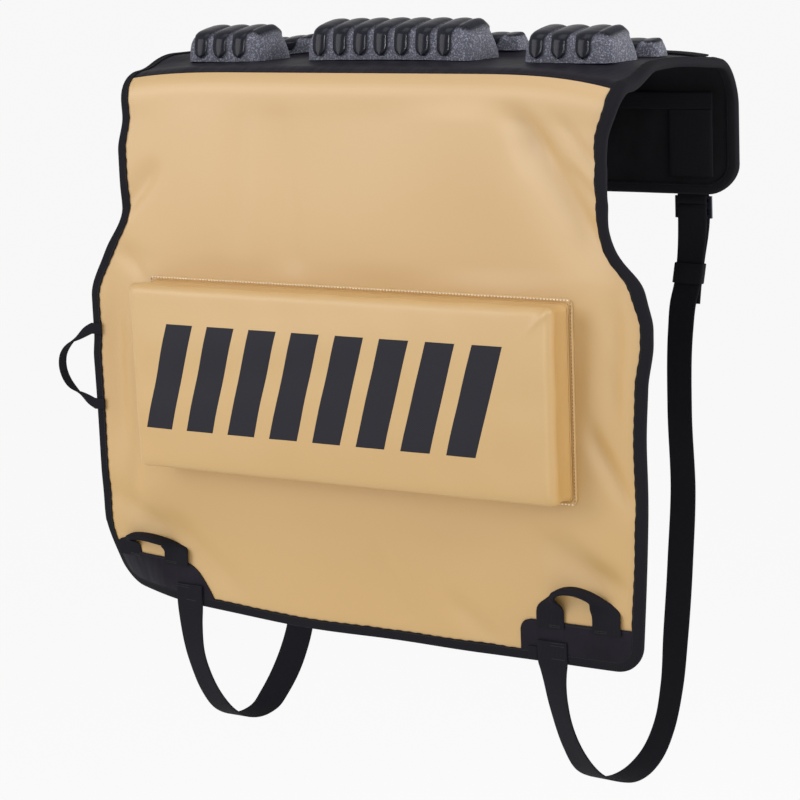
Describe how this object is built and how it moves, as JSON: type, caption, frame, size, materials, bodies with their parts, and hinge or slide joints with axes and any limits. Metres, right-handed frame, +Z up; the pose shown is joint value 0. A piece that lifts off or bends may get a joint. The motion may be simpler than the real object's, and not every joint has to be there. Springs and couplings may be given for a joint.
{
  "type": "tailgate bike pad",
  "caption": "Padded cover that hangs over a pickup tailgate, with foam cradle blocks for bicycle frames, a front bumper pad and two webbing straps that loop under the tailgate.",
  "frame": {"origin": "centre of the flat underside of the top, where it lies on the tailgate's top edge", "axes": "+X along the tailgate to the right as seen from outside, the long front panel faces -Y, +Z up"},
  "size_m": [0.8266, 0.3709, 0.8831],
  "materials": {
    "yellow_tarpaulin": "satin coated cloth",
    "black_tarpaulin": "satin coated cloth",
    "black_webbing": "matte woven",
    "moulded_foam": "grained satin",
    "soft_foam": "matte foam",
    "lining_cloth": "matte brushed cloth",
    "buckle_plastic": "satin moulded"
  },
  "bodies": {
    "root": {"front_cover": "yellow_tarpaulin", "top_cover": "black_tarpaulin", "front_foam": "soft_foam", "top_foam": "soft_foam", "flap_foam": "soft_foam", "lining": "lining_cloth", "edge_binding": "black_webbing", "bumper_cover": "yellow_tarpaulin", "bumper_foam": "soft_foam", "front_block_left": "moulded_foam", "front_block_middle": "moulded_foam", "front_block_right": "moulded_foam", "rear_block_left": "moulded_foam", "rear_block_middle": "moulded_foam", "rear_block_right": "moulded_foam", "corner_patch_left": "black_tarpaulin", "corner_patch_right": "black_tarpaulin", "corner_handle_left": "black_webbing", "corner_handle_right": "black_webbing", "strap_left": "black_webbing", "strap_right": "black_webbing", "buckle_left": "buckle_plastic", "buckle_right": "buckle_plastic", "strap_keeper_left": "black_webbing", "strap_keeper_right": "black_webbing", "buckle_anchor_left": "black_webbing", "buckle_anchor_right": "black_webbing", "flap_cross_webbing": "black_webbing", "flap_patch_left": "black_webbing", "flap_patch_right": "black_webbing", "top_webbing": "black_webbing", "carry_loop": "black_webbing", "pull_tab": "black_webbing"}
  },
  "joints": []
}
